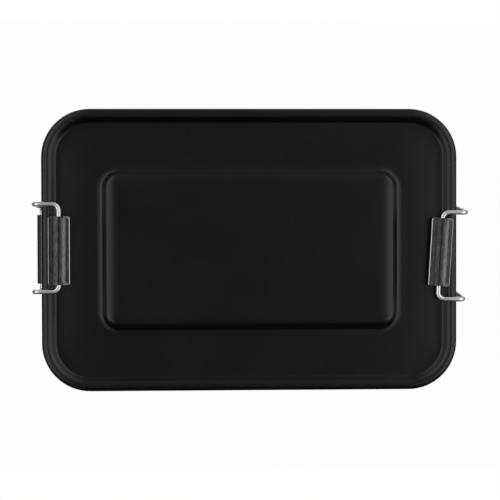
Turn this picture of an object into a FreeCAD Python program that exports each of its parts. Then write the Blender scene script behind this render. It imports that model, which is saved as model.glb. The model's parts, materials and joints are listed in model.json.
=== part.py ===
import FreeCAD, Part
import math
import os

import Sketcher
from FreeCAD import Placement, Rotation, Vector

# Lunch box of drawn sheet metal, closed. X runs along the long side, Z up, and the origin is the middle of
# the tub's base. The lid lifts off. A wire bail at each end hooks over the lid's raised rim.

# Driving sizes in millimetres and degrees.
SIZES = {
    # Lid, outside
    "lid_length": 172.0,
    "lid_width": 116.6,
    "lid_corner": 20.0,
    "lid_sheet": 0.8,
    "lid_skirt": 8.5,
    # Raised rim of the lid: outer rounding, slope down to the field, gap to the tub's rolled rim under it
    "rim_edge_radius": 2.2,
    "rim_height": 2.2,
    "rim_clearance": 0.45,
    "rim_slope": 60.0,
    "rim_top_radius": 2.3,
    "rim_foot_radius": 1.8,
    # Raised panel in the middle of the field, to the sharp corner at the slope's foot
    "panel_length": 123.2,
    "panel_width": 66.6,
    "panel_corner": 8.5,
    "panel_height": 3.4,
    "panel_slope": 50.0,
    "panel_top_radius": 5.0,
    "panel_foot_radius": 3.6,
    # Tub
    "tub_height": 58.0,
    "tub_sheet": 0.8,
    "tub_base_radius": 10.0,
    "curl_diameter": 3.0,
    "curl_wrap": 300.0,
    "lid_clearance": 0.4,
    # Soft ring in the lid's hollow rim
    "seal_width": 1.8,
    "seal_thickness": 1.0,
    "seal_round": 0.7,
    "seal_gap": 0.1,
    # Brackets
    "bracket_length": 29.0,
    "bracket_sheet": 1.0,
    "bracket_height": 16.0,
    "bracket_corner": 3.0,
    "bracket_bend": 1.2,
    "bracket_ramp": 45.0,
    "knuckle_wrap": 290.0,
    # Rivets
    "rivet_shank": 3.0,
    "rivet_clearance": 0.05,
    "rivet_inset": 6.5,
    "rivet_rise": 6.0,
    "rivet_dome_diameter": 5.6,
    "rivet_dome_height": 1.4,
    "rivet_flat_diameter": 5.0,
    "rivet_flat_height": 0.8,
    # Wire bails
    "wire_diameter": 2.0,
    "pivot_clearance": 0.05,
    "pivot_drop": 21.9,
    "pivot_out": 0.8,
    "leg_gap": 1.5,
    "wire_end_gap": 3.0,
    "arm_gap": 0.5,
    "foot_bend": 2.2,
    "knee_bend": 2.2,
    "bar_bend": 2.7,
    "left_bar_in": 7.3,
    "left_knee_out": 3.0,
    "left_slip": 1.25,
    "right_bar_in": 7.2,
    "right_bar_skew": 3.5,
    "right_bar_slip": 2.3,
    "right_knee_out": 3.3,
    "right_knee_skew": 2.0,
    "right_knee_slip": 2.6,
    # Grips
    "right_grip_slip": 1.05,
    "grip_end_gap": 1.4,
    "grip_width": 9.4,
    "grip_sheet": 0.55,
    "grip_clearance": 0.05,
    "grip_fold_height": 1.8,
    "grip_hump_blend": 4.0,
    "grip_corner": 0.85,
    "grip_seam": 35.0,
}

doc = FreeCAD.newDocument("lunch_box")
sheet = doc.addObject("Spreadsheet::Sheet", "sizes")
for row, (alias, size) in enumerate(SIZES.items(), start=1):
    sheet.set(f"A{row}", alias)
    sheet.set(f"B{row}", str(size))
    sheet.setAlias(f"B{row}", alias)
doc.recompute()


def of_sheet(text):
    """Writes a formula of bare size names as an expression on the sheet."""
    words = []
    word = ""
    for letter in text + " ":
        if letter.isalnum() or letter == "_":
            word += letter
            continue
        words.append("sizes." + word if word in SIZES else word)
        words.append(letter)
        word = ""
    return "".join(words).strip()


def value(text):
    """The number that a formula of size names stands for."""
    result = sheet.evalExpression(of_sheet(text))
    return float(getattr(result, "Value", result))


# Two levels closer than this are the same level
SAME = 1e-4

# Shares of a slope's length that the roundings at its top and foot may take up
TOP_SHARE = 0.57
FOOT_SHARE = 0.42

# Share of the seal's width that the rounding of one edge may take up
SEAL_SHARE = 0.45

# Share of its radius by which the cut that rounds a grip's corners clears the grip's sides
CORNER_SHARE = 0.06

# Levels and distances that several pieces share
CROWN = "(tub_height + seal_gap + seal_thickness + lid_sheet)"
CURL_Z = "(tub_height - curl_diameter / 2)"
CURL_INSET = "(lid_sheet + lid_clearance + curl_diameter / 2)"
WALL_INSET = "(lid_sheet + lid_clearance + curl_diameter - tub_sheet)"
WALL_X = f"(lid_length / 2 - {WALL_INSET})"
WALL_CORNER = f"(lid_corner - {WALL_INSET})"
SLOPE_OFF = f"(lid_sheet + curl_diameter / 2 + rim_clearance - ({CROWN} - {CURL_Z}) * cos(rim_slope))"
FIELD_INSET = f"({CURL_INSET} + {SLOPE_OFF} / sin(rim_slope))"
CROWN_INNER = f"({FIELD_INSET} - rim_top_radius * tan(rim_slope / 2))"
CROWN_MIDDLE = f"((rim_edge_radius + {CROWN_INNER}) / 2)"
PIVOT_OFF_WALL = f"({WALL_INSET} + pivot_out)"
PIVOT_Z = f"({CROWN} - pivot_drop)"
KNUCKLE_RADIUS = "(wire_diameter / 2 + pivot_clearance + bracket_sheet / 2)"
BRACKET_FOOT = f"({PIVOT_Z} - bracket_height)"
RIVET_Z = f"({BRACKET_FOOT} + rivet_rise)"
RIVET_SPACING = "(bracket_length - 2 * rivet_inset)"
LEG_SPACING = "(bracket_length + 2 * (leg_gap + foot_bend))"
BAR_Z = f"({CROWN} + arm_gap + wire_diameter / 2)"
GRIP_LENGTH = f"({LEG_SPACING} - 2 * (bar_bend + grip_end_gap))"
HUMP_OUTER = "(wire_diameter / 2 + grip_clearance + grip_sheet)"
CORNER_OFF = f"({CORNER_SHARE} * grip_corner)"
RIGHT_GRIP_X = "(lid_length / 2 - right_bar_in + (right_bar_slip - right_grip_slip) * tan(right_bar_skew))"
SEAL_ROUND = f"min(seal_round; {SEAL_SHARE} * seal_width)"


def slope_round(radius, height, slope, share):
    """A rounding on a slope, held to its share of the room that the slope leaves for two roundings."""
    return f"min({radius}; {share} * {height} / sin({slope}) / tan({slope} / 2))"


def bind(thing, path, formula):
    thing.setExpression(path, of_sheet(formula))


def new_body(name):
    body = doc.addObject("PartDesign::Body", name)
    body.Label = name
    return body


def new_sketch(body, name, role, offset=None):
    """A sketch on one of the body's own origin planes, moved off it by a formula."""
    sketch = body.newObject("Sketcher::SketchObject", name)
    base = [feature for feature in body.Origin.OriginFeatures if feature.Role == role][0]
    sketch.AttachmentSupport = [(base, "")]
    sketch.MapMode = "FlatFace"
    if offset:
        bind(sketch, "AttachmentOffset.Base.z", offset)
    return sketch


def dimension(sketch, name, formula, kind, *points):
    size = math.radians(value(formula)) if kind == "Angle" else value(formula)
    index = sketch.addConstraint(Sketcher.Constraint(kind, *points, size))
    sketch.renameConstraint(index, name)
    bind(sketch, "Constraints." + name, formula)


def arc(centre, radius, start, end):
    """Arc in a sketch, anticlockwise between two angles in degrees."""
    circle = Part.Circle(centre, Vector(0, 0, 1), radius)
    return Part.ArcOfCircle(circle, math.radians(start), math.radians(end))


def rounded_rectangle(sketch, prefix, length, width, radius):
    """Draws a rounded rectangle round the sketch's origin, starting along its lower side."""
    x = value(length) / 2
    y = value(width) / 2
    r = value(radius)
    corners = [(x - r, r - y, -90), (x - r, y - r, 0), (r - x, y - r, 90), (r - x, r - y, 180)]
    arcs = [arc(Vector(cx, cy, 0), r, turn, turn + 90) for cx, cy, turn in corners]
    first = sketch.GeometryCount
    for number in range(4):
        sketch.addGeometry(Part.LineSegment(arcs[number - 1].EndPoint, arcs[number].StartPoint), False)
        sketch.addGeometry(arcs[number], False)
    for number in range(8):
        follower = first + (number + 1) % 8
        sketch.addConstraint(Sketcher.Constraint("Tangent", first + number, 2, follower, 1))
    for number in (0, 4):
        sketch.addConstraint(Sketcher.Constraint("Horizontal", first + number))
        sketch.addConstraint(Sketcher.Constraint("Vertical", first + number + 2))
    for number in (3, 5, 7):
        sketch.addConstraint(Sketcher.Constraint("Equal", first + 1, first + number))
    sketch.addConstraint(Sketcher.Constraint("Symmetric", first + 1, 3, first + 5, 3, -1, 1))
    dimension(sketch, prefix + "length", length, "DistanceX", first + 6, 1, first + 2, 1)
    dimension(sketch, prefix + "width", width, "DistanceY", first, 1, first + 4, 1)
    dimension(sketch, prefix + "radius", radius, "Radius", first + 1)


def pad(body, name, sketch, length, taper=None, reverse=False, centred=False):
    feature = body.newObject("PartDesign::Pad", name)
    feature.Profile = sketch
    feature.Reversed = reverse
    feature.Midplane = centred
    bind(feature, "Length", length)
    if taper:
        bind(feature, "TaperAngle", taper)
    doc.recompute()
    return feature


def pocket(body, name, sketch, length=None, taper=None):
    """Cuts down from the sketch, or right through both ways where no length is given."""
    before = body.Shape.Volume
    feature = body.newObject("PartDesign::Pocket", name)
    feature.Profile = sketch
    if length:
        bind(feature, "Length", length)
    else:
        feature.Type = "ThroughAll"
        feature.Midplane = True
    if taper:
        bind(feature, "TaperAngle", taper)
    doc.recompute()
    if feature.Shape.Volume >= before:
        raise RuntimeError(f"{body.Label}: {name} cut nothing")
    return feature


def fillet(body, name, base, wanted, radius):
    """Rounds the edges of the base feature for which wanted(edge) is true."""
    edges = [f"Edge{n}" for n, edge in enumerate(base.Shape.Edges, start=1) if wanted(edge)]
    feature = body.newObject("PartDesign::Fillet", name)
    feature.Base = (base, edges)
    bind(feature, "Radius", radius)
    doc.recompute()
    return feature


def hollow(body, name, base, open_face, wall):
    """Turns the base feature into a sheet with one face left open."""
    faces = [f"Face{n}" for n, face in enumerate(base.Shape.Faces, start=1) if open_face(face)]
    feature = body.newObject("PartDesign::Thickness", name)
    feature.Base = (base, faces)
    feature.Reversed = True
    bind(feature, "Value", wall)
    doc.recompute()
    return feature


def pipe(body, name, section, path):
    feature = body.newObject("PartDesign::AdditivePipe", name)
    feature.Profile = section
    feature.Spine = (path, [f"Edge{n}" for n in range(1, path.GeometryCount + 1)])
    doc.recompute()
    return feature


def flat_at(level):
    """Tests whether an edge or face lies wholly at one height."""

    def test(shape):
        box = shape.BoundBox
        return abs(box.ZMin - level) < SAME and abs(box.ZMax - level) < SAME

    return test


def within(half_length, half_width):
    """Tests whether an edge's middle lies inside a rectangle round the origin."""

    def test(shape):
        middle = shape.CenterOfMass
        return abs(middle.x) < half_length and abs(middle.y) < half_width

    return test


def make_lid():
    """Drawn lid: skirt, hollow rim, lower field and raised panel. Its own zero height is the rim's crown."""
    body = new_body("lid")
    outline = new_sketch(body, "lid_outline", "XY_Plane")
    rounded_rectangle(outline, "lid_", "lid_length", "lid_width", "lid_corner")
    pad(body, "lid_block", outline, "lid_skirt", reverse=True)

    field = new_sketch(body, "field_outline", "XY_Plane")
    rounded_rectangle(field, "field_", f"lid_length - 2 * {FIELD_INSET}", f"lid_width - 2 * {FIELD_INSET}",
                      f"lid_corner - {FIELD_INSET}")
    pocket(body, "field_dip", field, "rim_height", "rim_slope - 90")

    panel = new_sketch(body, "panel_outline", "XY_Plane", "-rim_height")
    rounded_rectangle(panel, "panel_", "panel_length", "panel_width", "panel_corner")
    step = pad(body, "panel_rise", panel, "panel_height", "panel_slope - 90")

    crown_x = value(f"lid_length / 2 - {CROWN_MIDDLE}")
    crown_y = value(f"lid_width / 2 - {CROWN_MIDDLE}")
    panel_x = value("panel_length / 2") + SAME
    panel_y = value("panel_width / 2") + SAME
    at_crown = flat_at(0)
    at_field = flat_at(-value("rim_height"))
    at_panel = flat_at(value("panel_height - rim_height"))
    inside_rim = within(crown_x, crown_y)
    inside_panel = within(panel_x, panel_y)
    step = fillet(body, "rim_edge", step, lambda e: at_crown(e) and not inside_rim(e), "rim_edge_radius")
    step = fillet(body, "rim_top", step, lambda e: at_crown(e) and inside_rim(e),
                  slope_round("rim_top_radius", "rim_height", "rim_slope", TOP_SHARE))
    step = fillet(body, "rim_foot", step, lambda e: at_field(e) and not inside_panel(e),
                  slope_round("rim_foot_radius", "rim_height", "rim_slope", FOOT_SHARE))
    step = fillet(body, "panel_foot", step, lambda e: at_field(e) and inside_panel(e),
                  slope_round("panel_foot_radius", "panel_height", "panel_slope", FOOT_SHARE))
    step = fillet(body, "panel_top", step, at_panel,
                  slope_round("panel_top_radius", "panel_height", "panel_slope", TOP_SHARE))
    hollow(body, "lid_shell", step, flat_at(-value("lid_skirt")), "lid_sheet")
    bind(body, "Placement.Base.z", CROWN)
    return body


def make_tub():
    """Drawn tub with a rim rolled outwards and rivet holes in its two end walls."""
    body = new_body("tub")
    outline = new_sketch(body, "tub_outline", "XY_Plane")
    rounded_rectangle(outline, "tub_", f"lid_length - 2 * {WALL_INSET}", f"lid_width - 2 * {WALL_INSET}",
                      WALL_CORNER)
    step = pad(body, "tub_block", outline, CURL_Z)
    step = fillet(body, "base_round", step, flat_at(0), f"min(tub_base_radius; {WALL_CORNER} - tub_sheet)")
    hollow(body, "tub_shell", step, flat_at(value(CURL_Z)), "tub_sheet")

    path = new_sketch(body, "curl_path", "XY_Plane", CURL_Z)
    rounded_rectangle(path, "curl_", f"lid_length - 2 * {CURL_INSET}", f"lid_width - 2 * {CURL_INSET}",
                      f"lid_corner - {CURL_INSET}")
    section = new_sketch(body, "curl_section", "YZ_Plane", "lid_corner - lid_length / 2")
    rolled_section(section)
    doc.recompute()
    pipe(body, "rolled_rim", section, path)

    holes = new_sketch(body, "rivet_holes", "YZ_Plane")
    rivet_circles(holes)
    pocket(body, "rivet_bores", holes)
    return body


def rolled_section(sketch):
    """Section of the rolled rim where its path starts, at the front side: an open ring of sheet."""
    centre = Vector(-value(f"lid_width / 2 - {CURL_INSET}"), value(CURL_Z), 0)
    outer = value("curl_diameter / 2")
    inner = value("curl_diameter / 2 - tub_sheet")
    wrap = value("curl_wrap")
    rings = [arc(centre, radius, 0, wrap) for radius in (outer, inner)]
    for ring in rings:
        sketch.addGeometry(ring, False)
    sketch.addGeometry(Part.LineSegment(rings[0].StartPoint, rings[1].StartPoint), False)
    sketch.addGeometry(Part.LineSegment(rings[0].EndPoint, rings[1].EndPoint), False)
    for ring in (0, 1):
        sketch.addConstraint(Sketcher.Constraint("Coincident", ring, 1, 2, ring + 1))
        sketch.addConstraint(Sketcher.Constraint("Coincident", ring, 2, 3, ring + 1))
    sketch.addConstraint(Sketcher.Constraint("Coincident", 0, 3, 1, 3))
    sketch.addConstraint(Sketcher.Constraint("Horizontal", 2))
    sketch.addConstraint(Sketcher.Constraint("PointOnObject", 0, 3, 2))
    sketch.addConstraint(Sketcher.Constraint("PointOnObject", 0, 3, 3))
    dimension(sketch, "outer", "curl_diameter / 2", "Radius", 0)
    dimension(sketch, "inner", "curl_diameter / 2 - tub_sheet", "Radius", 1)
    dimension(sketch, "across", f"lid_width / 2 - {CURL_INSET}", "DistanceX", 0, 3, -1, 1)
    dimension(sketch, "height", CURL_Z, "DistanceY", -1, 1, 0, 3)
    dimension(sketch, "wrap", "curl_wrap", "Angle", 0)


def rivet_circles(sketch):
    """The two rivet holes of an end wall or a bracket."""
    radius = value("rivet_shank / 2 + rivet_clearance")
    y = value(RIVET_SPACING) / 2
    z = value(RIVET_Z)
    for side in (-1, 1):
        sketch.addGeometry(Part.Circle(Vector(side * y, z, 0), Vector(0, 0, 1), radius), False)
    sketch.addConstraint(Sketcher.Constraint("Equal", 0, 1))
    sketch.addConstraint(Sketcher.Constraint("Symmetric", 0, 3, 1, 3, -2))
    dimension(sketch, "radius", "rivet_shank / 2 + rivet_clearance", "Radius", 0)
    dimension(sketch, "spacing", RIVET_SPACING, "DistanceX", 0, 3, 1, 3)
    dimension(sketch, "height", RIVET_Z, "DistanceY", -1, 1, 0, 3)


def make_seal():
    """Soft ring under the roof of the lid's hollow rim, rounded to fit it."""
    body = new_body("lid_seal")
    section = new_sketch(body, "seal_outline", "XY_Plane")
    for prefix, sign in (("outer_", "-"), ("inner_", "+")):
        edge = f"({CROWN_MIDDLE} {sign} seal_width / 2)"
        rounded_rectangle(section, prefix, f"lid_length - 2 * {edge}", f"lid_width - 2 * {edge}",
                          f"lid_corner - {edge}")
    ring = pad(body, "seal_ring", section, "seal_thickness")
    fillet(body, "seal_top", ring, flat_at(value("seal_thickness")), SEAL_ROUND)
    bind(body, "Placement.Base.z", "tub_height + seal_gap")
    return body


def place_on_wall(body, side, y=None, z=None):
    """Stands a piece, drawn with its own +X outwards, on the tub's left (-1) or right (+1) end wall."""
    if side < 0:
        body.Placement = Placement(Vector(), Rotation(Vector(0, 0, 1), 180))
    bind(body, "Placement.Base.x", f"{side} * {WALL_X}")
    if y:
        bind(body, "Placement.Base.y", y)
    if z:
        bind(body, "Placement.Base.z", z)


def make_bracket(name, side):
    """Hinge plate: a strip that lies on the wall, steps outwards and rolls into a knuckle round the wire."""
    body = new_body(name)
    section = new_sketch(body, "strip_section", "XY_Plane", BRACKET_FOOT)
    rectangle(section, "bracket_sheet", "bracket_length", from_wall=True)
    path = new_sketch(body, "strip_path", "XZ_Plane")
    bracket_path(path)
    doc.recompute()
    strip = pipe(body, "strip", section, path)

    def lower_corner(edge):
        box = edge.BoundBox
        low = abs(box.ZMax - value(BRACKET_FOOT)) < SAME
        return low and abs(box.YMax - box.YMin) < SAME

    fillet(body, "plate_corners", strip, lower_corner, "bracket_corner")
    holes = new_sketch(body, "rivet_holes", "YZ_Plane")
    rivet_circles(holes)
    pocket(body, "rivet_bores", holes)
    place_on_wall(body, side)
    return body


def rectangle(sketch, depth, width, from_wall=False):
    """A rectangle round the sketch's origin, or one that starts at the wall and is centred along it."""
    x = value(depth) / 2
    y = value(width) / 2
    middle = Vector(x if from_wall else 0, 0, 0)
    corners = [middle + Vector(a * x, b * y, 0) for a, b in ((-1, -1), (1, -1), (1, 1), (-1, 1))]
    for number in range(4):
        sketch.addGeometry(Part.LineSegment(corners[number], corners[(number + 1) % 4]), False)
    for number in range(4):
        sketch.addConstraint(Sketcher.Constraint("Coincident", number, 2, (number + 1) % 4, 1))
    for number in (0, 2):
        sketch.addConstraint(Sketcher.Constraint("Horizontal", number))
        sketch.addConstraint(Sketcher.Constraint("Vertical", number + 1))
    if from_wall:
        sketch.addConstraint(Sketcher.Constraint("Symmetric", 3, 1, 3, 2, -1, 1))
    else:
        sketch.addConstraint(Sketcher.Constraint("Symmetric", 0, 1, 2, 1, -1, 1))
    dimension(sketch, "depth", depth, "DistanceX", 0, 1, 0, 2)
    dimension(sketch, "width", width, "DistanceY", 1, 1, 1, 2)


def bracket_path(sketch):
    """Middle line of the bracket's strip from the front: up the wall, out along a ramp, round the wire."""
    bend = value("bracket_bend")
    ramp = value("bracket_ramp")
    radius = value(KNUCKLE_RADIUS)
    pivot = Vector(value(PIVOT_OFF_WALL), value(PIVOT_Z), 0)
    along = Vector(math.sin(math.radians(ramp)), math.cos(math.radians(ramp)), 0)
    upper = arc(pivot - Vector(radius + bend, 0, 0), bend, -ramp, 0)
    foot = Vector(value("bracket_sheet / 2"), value(BRACKET_FOOT), 0)
    run = (upper.StartPoint.x - foot.x - bend * (1 - along.y)) / along.x
    lower_end = upper.StartPoint - along * run
    lower = arc(lower_end + Vector(along.y, -along.x, 0) * bend, bend, 180 - ramp, 180)
    knuckle = arc(pivot, radius, 180 - value("knuckle_wrap"), 180)
    sketch.addGeometry(Part.LineSegment(foot, lower.EndPoint), False)
    sketch.addGeometry(lower, False)
    sketch.addGeometry(Part.LineSegment(lower.StartPoint, upper.StartPoint), False)
    sketch.addGeometry(upper, False)
    sketch.addGeometry(knuckle, False)
    sketch.addConstraint(Sketcher.Constraint("Vertical", 0))
    sketch.addConstraint(Sketcher.Constraint("Tangent", 0, 2, 1, 2))
    sketch.addConstraint(Sketcher.Constraint("Tangent", 1, 1, 2, 1))
    sketch.addConstraint(Sketcher.Constraint("Tangent", 2, 2, 3, 1))
    sketch.addConstraint(Sketcher.Constraint("Tangent", 3, 2, 4, 2))
    sketch.addConstraint(Sketcher.Constraint("Horizontal", 4, 2, 4, 3))
    sketch.addConstraint(Sketcher.Constraint("Equal", 1, 3))
    dimension(sketch, "bend", "bracket_bend", "Radius", 1)
    dimension(sketch, "ramp", "90 - bracket_ramp", "Angle", 2)
    dimension(sketch, "foot_out", "bracket_sheet / 2", "DistanceX", -1, 1, 0, 1)
    dimension(sketch, "foot_up", BRACKET_FOOT, "DistanceY", -1, 1, 0, 1)
    dimension(sketch, "pivot_out", PIVOT_OFF_WALL, "DistanceX", -1, 1, 4, 3)
    dimension(sketch, "pivot_up", PIVOT_Z, "DistanceY", -1, 1, 4, 3)
    dimension(sketch, "knuckle", KNUCKLE_RADIUS, "Radius", 4)
    dimension(sketch, "wrap", "knuckle_wrap", "Angle", 4)


def make_rivet(name, side, y):
    """Rivet through bracket and wall: flat head inside the tub, domed head outside."""
    body = new_body(name)
    section = new_sketch(body, "rivet_section", "XZ_Plane")
    rivet_section(section)
    turned = body.newObject("PartDesign::Revolution", "rivet_turned")
    turned.Profile = section
    turned.ReferenceAxis = (section, ["H_Axis"])
    place_on_wall(body, side, y, RIVET_Z)
    doc.recompute()
    return body


def rivet_section(sketch):
    """Half section of a rivet above its axis, with zero at the wall's outer face and +X outwards."""
    shank = value("rivet_shank / 2")
    inner = -value("tub_sheet")
    outer = value("bracket_sheet")
    flat_radius = value("rivet_flat_diameter / 2")
    flat_end = inner - value("rivet_flat_height")
    dome_radius = value("rivet_dome_diameter / 2")
    rise = value("rivet_dome_height")
    ball = (dome_radius ** 2 + rise ** 2) / (2 * rise)
    corners = [(flat_end, 0), (flat_end, flat_radius), (inner, flat_radius), (inner, shank), (outer, shank),
               (outer, dome_radius)]
    corners = [Vector(x, y, 0) for x, y in corners]
    for start, end in zip(corners, corners[1:]):
        sketch.addGeometry(Part.LineSegment(start, end), False)
    spread = math.degrees(math.asin(dome_radius / ball))
    dome = arc(Vector(outer + rise - ball, 0, 0), ball, 0, spread)
    sketch.addGeometry(dome, False)
    sketch.addGeometry(Part.LineSegment(dome.StartPoint, corners[0]), False)
    for number in range(4):
        sketch.addConstraint(Sketcher.Constraint("Coincident", number, 2, number + 1, 1))
    sketch.addConstraint(Sketcher.Constraint("Coincident", 4, 2, 5, 2))
    sketch.addConstraint(Sketcher.Constraint("Coincident", 5, 1, 6, 1))
    sketch.addConstraint(Sketcher.Constraint("Coincident", 6, 2, 0, 1))
    for number in (0, 2, 4):
        sketch.addConstraint(Sketcher.Constraint("Vertical", number))
    for number in (1, 3):
        sketch.addConstraint(Sketcher.Constraint("Horizontal", number))
    for geometry, point in ((0, 1), (5, 1), (5, 3)):
        sketch.addConstraint(Sketcher.Constraint("PointOnObject", geometry, point, -1))
    dimension(sketch, "flat_radius", "rivet_flat_diameter / 2", "DistanceY", 0, 1, 0, 2)
    dimension(sketch, "flat_height", "rivet_flat_height", "DistanceX", 1, 1, 1, 2)
    dimension(sketch, "shank_radius", "rivet_shank / 2", "DistanceY", -1, 1, 3, 1)
    dimension(sketch, "wall", "tub_sheet", "DistanceX", 3, 1, -1, 1)
    dimension(sketch, "plate", "bracket_sheet", "DistanceX", -1, 1, 3, 2)
    dimension(sketch, "dome_radius", "rivet_dome_diameter / 2", "DistanceY", -1, 1, 4, 2)
    dimension(sketch, "dome_height", "rivet_dome_height", "DistanceX", 4, 2, 5, 1)


def make_grip(name, x, y, skew=None):
    """Sleeve of folded sheet round the bail's cross bar, open along a seam below. Its own Y is the bar."""
    body = new_body(name)
    outline = new_sketch(body, "flat_outline", "XZ_Plane")
    folded_outline(outline)
    pad(body, "flat_tube", outline, GRIP_LENGTH, centred=True)
    hump = new_sketch(body, "hump_outline", "XZ_Plane")
    hump.addGeometry(Part.Circle(Vector(), Vector(0, 0, 1), value(HUMP_OUTER)), False)
    hump.addConstraint(Sketcher.Constraint("Coincident", 0, 3, -1, 1))
    dimension(hump, "hump", HUMP_OUTER, "Radius", 0)
    step = pad(body, "hump", hump, GRIP_LENGTH, centred=True)

    side_level = value("grip_fold_height / 2")
    half = value(GRIP_LENGTH) / 2

    def hump_foot(edge):
        box = edge.BoundBox
        lengthwise = box.YMax - box.YMin > half
        return lengthwise and abs(abs(box.ZMin) - side_level) < SAME and abs(box.XMin) < value(HUMP_OUTER)

    step = fillet(body, "hump_blend", step, hump_foot, "grip_hump_blend")

    def end_face(face):
        box = face.BoundBox
        return box.YMax - box.YMin < SAME

    hollow(body, "folded_sheet", step, end_face, "grip_sheet")
    seam = new_sketch(body, "seam_outline", "XY_Plane")
    rectangle(seam, f"2 * {HUMP_OUTER} * sin(grip_seam)", f"2 * {GRIP_LENGTH}")
    pocket(body, "seam", seam, HUMP_OUTER)
    corners = new_sketch(body, "corner_outline", "XY_Plane")
    rounded_rectangle(corners, "kept_", f"grip_width + 2 * {CORNER_OFF}",
                      f"{GRIP_LENGTH} + 2 * {CORNER_OFF}", "grip_corner")
    rounded_rectangle(corners, "around_", "2 * grip_width", f"2 * {GRIP_LENGTH}", "grip_corner")
    pocket(body, "round_corners", corners)
    if skew:
        body.Placement = Placement(Vector(), Rotation(Vector(0, 0, -1), value(skew)))
        bind(body, "Placement.Rotation.Angle", skew)
    bind(body, "Placement.Base.x", x)
    bind(body, "Placement.Base.y", y)
    bind(body, "Placement.Base.z", BAR_Z)
    doc.recompute()
    return body


def folded_outline(sketch):
    """Flat oval of the folded sleeve: two straight leaves and a round fold at each side."""
    radius = value("grip_fold_height / 2")
    reach = value("(grip_width - grip_fold_height) / 2")
    sketch.addGeometry(arc(Vector(reach, 0, 0), radius, -90, 90), False)
    sketch.addGeometry(Part.LineSegment(Vector(reach, radius, 0), Vector(-reach, radius, 0)), False)
    sketch.addGeometry(arc(Vector(-reach, 0, 0), radius, 90, 270), False)
    sketch.addGeometry(Part.LineSegment(Vector(-reach, -radius, 0), Vector(reach, -radius, 0)), False)
    for number in range(4):
        sketch.addConstraint(Sketcher.Constraint("Tangent", number, 2, (number + 1) % 4, 1))
    sketch.addConstraint(Sketcher.Constraint("Equal", 0, 2))
    sketch.addConstraint(Sketcher.Constraint("Symmetric", 0, 3, 2, 3, -1, 1))
    sketch.addConstraint(Sketcher.Constraint("PointOnObject", 0, 3, -1))
    dimension(sketch, "fold", "grip_fold_height / 2", "Radius", 0)
    dimension(sketch, "reach", "grip_width - grip_fold_height", "DistanceX", 2, 3, 0, 3)


def bent_wire(points, bends):
    """Joins points by straight runs, with a round bend of the given radius at each inner point."""
    edges = []
    start = points[0]
    for before, corner, after, radius in zip(points, points[1:], points[2:], bends):
        arriving = (corner - before).normalize()
        leaving = (after - corner).normalize()
        half_turn = arriving.getAngle(leaving) / 2
        trim = radius * math.tan(half_turn)
        inwards = (leaving - arriving).normalize()
        middle = corner + inwards * (radius / math.cos(half_turn) - radius)
        first = corner - arriving * trim
        last = corner + leaving * trim
        edges.append(Part.LineSegment(start, first).toShape())
        edges.append(Part.Arc(first, middle, last).toShape())
        start = last
    edges.append(Part.LineSegment(start, points[-1]).toShape())
    return Part.Wire(edges)


def make_bail(name, side, bar_in, knee_out, bar_slip, knee_slip, bar_skew="0", knee_skew="0"):
    """Bent wire: ends in the bracket's knuckle, legs up outside the lid, arms over its rim to the bar."""
    edge = value("lid_length / 2")
    half = value(LEG_SPACING) / 2
    end = value("wire_end_gap / 2")
    low = value(PIVOT_Z)
    high = value(BAR_Z)
    pivot_x = side * (edge + value("pivot_out"))
    knee_x = side * (edge + value(knee_out))
    bar_x = side * (edge - value(bar_in))

    def across(x, slip, skew, sign):
        turn = math.radians(value(skew))
        return Vector(x + sign * half * math.sin(turn), sign * half * math.cos(turn) - value(slip), high)

    points = []
    for sign in (-1, 1):
        run = [Vector(pivot_x, sign * end, low), Vector(pivot_x, sign * half, low),
               across(knee_x, knee_slip, knee_skew, sign), across(bar_x, bar_slip, bar_skew, sign)]
        points += run if sign < 0 else run[::-1]
    bends = [value(size) for size in ("foot_bend", "knee_bend", "bar_bend")]
    path = doc.addObject("Part::Feature", name + "_path")
    path.Shape = bent_wire(points, bends + bends[::-1])

    section = doc.addObject("Part::Circle", name + "_section")
    bind(section, "Radius", "wire_diameter / 2")
    section.Placement = Placement(points[0], Rotation(Vector(0, 0, 1), Vector(0, -1, 0)))
    doc.recompute()
    bail = doc.addObject("Part::Sweep", name)
    bail.Label = name
    bail.Sections = [section]
    bail.Spine = (path, [f"Edge{n}" for n in range(1, len(path.Shape.Edges) + 1)])
    bail.Solid = True
    doc.recompute()
    return bail


def check(parts):
    """Stops before anything is written if an object failed or a piece has no sound solid."""
    for thing in doc.Objects:
        if "Invalid" in thing.State or "Error" in thing.State:
            raise RuntimeError(f"{thing.Label} failed: {thing.State}")
    for part in parts:
        if part.Shape.isNull() or not part.Shape.isValid() or not part.Shape.Solids:
            raise RuntimeError(f"{part.Label} has no valid solid")


parts = [make_tub(), make_lid(), make_seal()]
for side, hand in ((-1, "left"), (1, "right")):
    parts.append(make_bracket(f"{hand}_bracket", side))
    for row, place in ((-1, "front"), (1, "rear")):
        parts.append(make_rivet(f"{hand}_bracket_rivet_{place}", side, f"{row} * {RIVET_SPACING} / 2"))
parts.append(make_bail("left_bail", -1, "left_bar_in", "left_knee_out", "-left_slip", "-left_slip"))
parts.append(make_bail("right_bail", 1, "right_bar_in", "right_knee_out", "right_bar_slip", "right_knee_slip",
                       "right_bar_skew", "right_knee_skew"))
parts.append(make_grip("left_grip", "left_bar_in - lid_length / 2", "0"))
parts.append(make_grip("right_grip", RIGHT_GRIP_X, "-right_grip_slip", "right_bar_skew"))
doc.recompute()
check(parts)
os.makedirs("parts", exist_ok=True)
for part in parts:
    part.Shape.exportStep(f"parts/{part.Label}.step")
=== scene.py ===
import json
import math
from itertools import accumulate, pairwise

import bmesh
import bpy
from bpy.props import FloatProperty, FloatVectorProperty, PointerProperty
from mathutils import Matrix, Vector, noise


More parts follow.
